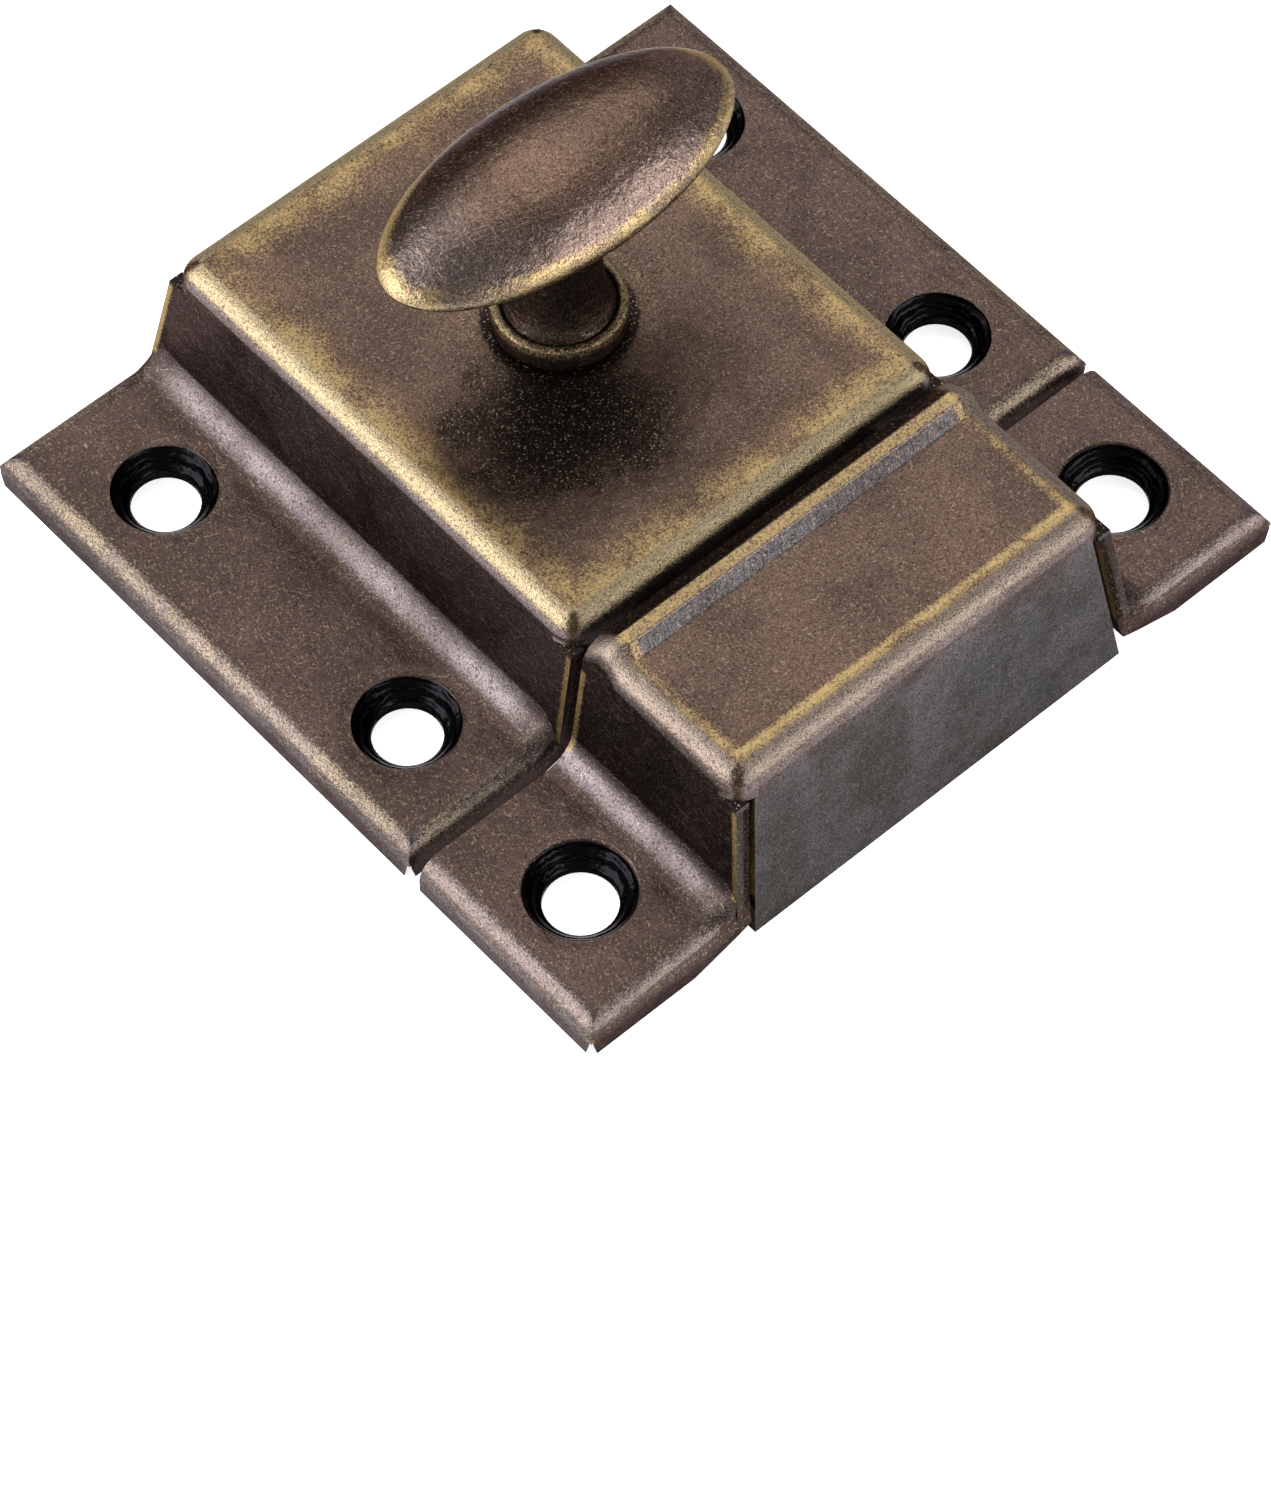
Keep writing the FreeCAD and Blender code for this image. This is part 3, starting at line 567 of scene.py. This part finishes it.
# %% Zinc plate, bare casting and spring wire
def plain_metal(name, light, dark, roughness, grain_per_mm, bump_mm):
    finish = Finish(name)
    clouds = finish.noise(0.5, 4.0)
    grain = finish.noise(grain_per_mm, 2.0)
    lines = scratches(finish, 2, 0.70)
    colour = finish.mix(clouds.step(0.35, 0.65), light, dark)
    colour = finish.mix(lines * 0.35, colour, light)
    colour = finish.mix(grain.step(0.58, 0.72) * 0.35, colour, dark)
    finish.feed(Base_Color=colour, Metallic=1.0, Roughness=roughness + (grain - 0.5) * 0.2)
    finish.bumped(grain + finish.noise(0.6, 2.0) * 2.0 - lines * 0.5, bump_mm)
    return finish.material


zinc_plate = plain_metal("zinc_plate", rgb(0.48, 0.47, 0.445), rgb(0.39, 0.38, 0.365), 0.38, 4.0, 0.012)
bare_casting = plain_metal("bare_casting", rgb(0.31, 0.295, 0.275), rgb(0.235, 0.22, 0.20), 0.48, 6.0, 0.03)
spring_wire = plain_metal("spring_wire", rgb(0.60, 0.60, 0.60), rgb(0.45, 0.44, 0.43), 0.28, 8.0, 0.006)
print("inner finishes:", zinc_plate.name, bare_casting.name, spring_wire.name)

# %% [markdown]
# ## Skins of the two pressed sheets
#
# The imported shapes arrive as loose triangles, so a copy is merged before anything is done to it. The sheared
# edges of a real sheet are never razor sharp. A bevel of a tenth of a millimetre gives each of them
# the thin bright line that makes a sheet look like metal, and bends keep their own smooth shading because
# only steep edges are bevelled. Smooth shading would also bleed from a bend on to the flat beside it, so
# a modifier weighs each face's say in a corner's normal by its area, and the large flats stay flat.


# %% Merged and bevelled copies
def place_piece(name, bm, body, slot, material, *replaced):
    """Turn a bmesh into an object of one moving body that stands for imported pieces."""
    mesh = bpy.data.meshes.new(name)
    bm.to_mesh(mesh)
    bm.free()
    mesh.materials.append(material)
    piece = bpy.data.objects.new(name, mesh)
    bpy.context.scene.collection.objects.link(piece)
    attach(piece, body)
    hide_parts(*replaced)
    print(name, "has", len(mesh.polygons), "faces")
    return piece


def crease_angle(edge):
    """Angle from which an edge counts as sharp: only the ends of the strike's ridge run out softly."""
    x, y, z = (edge.verts[0].co + edge.verts[1].co) / (2 * MM)
    ridge_end = abs(x) > flat_half - 0.4 and ramp_foot - 0.3 < y < lead_start + 0.2 and z > 11.6
    return math.radians(80 if ridge_end else 35)


def skin(node, name, body, material, bevel_mm, end_walls):
    """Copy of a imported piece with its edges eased; end_walls gives the (y at the foot, lean) of leaning walls."""
    bm = bmesh.new()
    bm.from_mesh(nodes[node].data)
    for vert in bm.verts:
        x, y, z = vert.co / MM
        for foot_y, lean in end_walls:
            beyond = (foot_y + lean * z - y) * math.copysign(1, lean)
            if abs(x) < 15.35 and z < 2.6 and 0 < beyond < 0.5:
                vert.co.y = (foot_y + lean * z) * MM
    bmesh.ops.remove_doubles(bm, verts=bm.verts, dist=0.002 * MM)
    bmesh.ops.dissolve_degenerate(bm, edges=bm.edges, dist=0.001 * MM)
    bmesh.ops.dissolve_limit(bm, angle_limit=math.radians(0.5), verts=bm.verts, edges=bm.edges,
                             delimit={"NORMAL"})
    steep = [e for e in bm.edges if len(e.link_faces) == 2 and e.calc_face_angle(0) > crease_angle(e)]
    bmesh.ops.bevel(bm, geom=steep, offset=bevel_mm * MM, offset_type="OFFSET", segments=2, profile=0.5,
                    affect="EDGES", clamp_overlap=True, material=-1)
    for face in bm.faces:
        face.smooth = True
    for edge in bm.edges:
        edge.smooth = len(edge.link_faces) == 2 and edge.calc_face_angle(0) < crease_angle(edge)
    bmesh.ops.triangulate(bm, faces=bm.faces)
    piece = place_piece(name, bm, body, "pressed_sheet", material, node)
    even = piece.modifiers.new("even_shading", "WEIGHTED_NORMAL")
    even.mode = "FACE_AREA"
    even.keep_sharp = True
    return piece


case_skin = skin("latch_case", "case_skin", "case_body", case_finish, 0.1, [(case_high.y, -end_lean)])
strike_skin = skin("strike", "strike_skin", "strike_body", strike_finish, 0.1, [(strike_low.y, end_lean)])

# %% [markdown]
# ## Knob
#
# The whole knob is one lathe profile. Below the neck it stays round. Above it, every point is stretched
# along x, more and more up to the belly, and the round mushroom becomes the oval head of a casting
# without any seam between stem and head. Down inside the case, the same trick pushes two rings out to a square,
# which is the tang that turns the cam.

# %% Turned and stretched knob
stem_r = 2.7
crown_arc = [math.radians(angle) for angle in (52, 46, 40, 34, 28, 22, 16, 10, 4)]
crown_radius = 7.2
crown_centre = knob_high.z - crown_radius - 0.01
square_half, square_low, square_high = 1.95, 2.3, 11.7
lathe = [(0.0, 0.27), (2.6, 0.27), (2.95, 0.5), (2.98, 0.72), (2.0, 0.75), (2.0, square_low - 0.01),
         (square_half, square_low), (square_half, square_high), (2.0, square_high + 0.01), (2.0, 11.76),
         (2.99, 11.76), (2.99, 13.42), (4.12, 13.42), (4.37, 13.68), (4.38, 14.95), (4.30, 15.2), (4.12, 15.32),
         (3.92, 15.34), (3.72, 15.26), (3.60, 15.08), (3.35, 15.45), (3.08, 16.2), (2.85, 17.3), (2.74, 18.6),
         (stem_r, 20.0), (stem_r, 22.4), (2.78, 23.1), (3.05, 23.8), (3.6, 24.5), (4.3, 25.1), (5.05, 25.62),
         (5.62, 26.02), (5.96, 26.38), (6.15, 26.74), (6.21, 27.08), (6.14, 27.42), (5.95, 27.72)]
lathe += [(crown_radius * math.sin(a), crown_centre + crown_radius * math.cos(a)) for a in crown_arc]
lathe.append((0.0, crown_centre + crown_radius))
turns_of_lathe = 120


def stretch(z):
    share = min(max((z - 23.2) / (25.6 - 23.2), 0.0), 1.0)
    share = share * share * (3 - 2 * share)
    return 1 + (half_length / half_breadth - 1) * share


bm = bmesh.new()
points = [bm.verts.new(Vector((r, spindle_y, z)) * MM) for r, z in lathe]
for a, b in zip(points, points[1:]):
    bm.edges.new((a, b))
bmesh.ops.spin(bm, geom=bm.verts[:] + bm.edges[:], cent=Vector((0, spindle_y, 0)) * MM, axis=(0, 0, 1),
               dvec=(0, 0, 0), angle=2 * math.pi, steps=turns_of_lathe, use_merge=True)
bmesh.ops.remove_doubles(bm, verts=bm.verts, dist=0.001 * MM)
for vert in bm.verts:
    across, along, z = vert.co.x / MM, vert.co.y / MM - spindle_y, vert.co.z / MM
    if square_low - 0.005 < z < square_high + 0.005:
        out = square_half / max(abs(across), abs(along))
        vert.co.x, vert.co.y = across * out * MM, (spindle_y + along * out) * MM
    vert.co.x *= stretch(z)
bmesh.ops.recalc_face_normals(bm, faces=bm.faces)
for face in bm.faces:
    face.smooth = True
for edge in bm.edges:
    edge.smooth = len(edge.link_faces) == 2 and edge.calc_face_angle(0) < math.radians(38)
knob_piece = place_piece("oval_knob", bm, "knob_body", "knob_casting", knob_material, "turn_knob")

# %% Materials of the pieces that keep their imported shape
for node, material in (("guide_plate", zinc_plate), ("top_washer", zinc_plate), ("bottom_washer", zinc_plate),
                       ("spring_pin", zinc_plate), ("spring_stud", zinc_plate), ("cam_hub", bare_casting),
                       ("latch_bolt", bare_casting)):
    nodes[node].data.materials.clear()
    nodes[node].data.materials.append(material)
print("plain pieces dressed")

# %% [markdown]
# ## Spring
#
# A coil is a small circle spun round an axis while it moves along it, and the spin operator does both at
# once: its dvec is how far each step moves.

# %% Coil spring behind the bolt
wire_r = 0.3
turns = 6
steps_per_turn = 28
middle = (spring_low + spring_high) / 2
mean_r = (spring_high.z - spring_low.z) / 2 - wire_r
run = spring_high.y - spring_low.y - 2 * wire_r
steps = turns * steps_per_turn
bm = bmesh.new()
start = Vector((middle.x + mean_r, spring_low.y + wire_r, middle.z))
bmesh.ops.create_circle(bm, cap_ends=False, segments=10, radius=wire_r * MM,
                        matrix=Matrix.Translation(start * MM))
bmesh.ops.spin(bm, geom=bm.verts[:] + bm.edges[:], cent=middle * MM, axis=(0, 1, 0),
               dvec=Vector((0, run / steps, 0)) * MM, angle=2 * math.pi * turns, steps=steps, use_merge=False)
bmesh.ops.holes_fill(bm, edges=[e for e in bm.edges if e.is_boundary])
bmesh.ops.recalc_face_normals(bm, faces=bm.faces)
for face in bm.faces:
    face.smooth = True
coil_spring = place_piece("coil_spring", bm, "case_body", "spring_steel", spring_wire, "bolt_spring")
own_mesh(coil_spring)
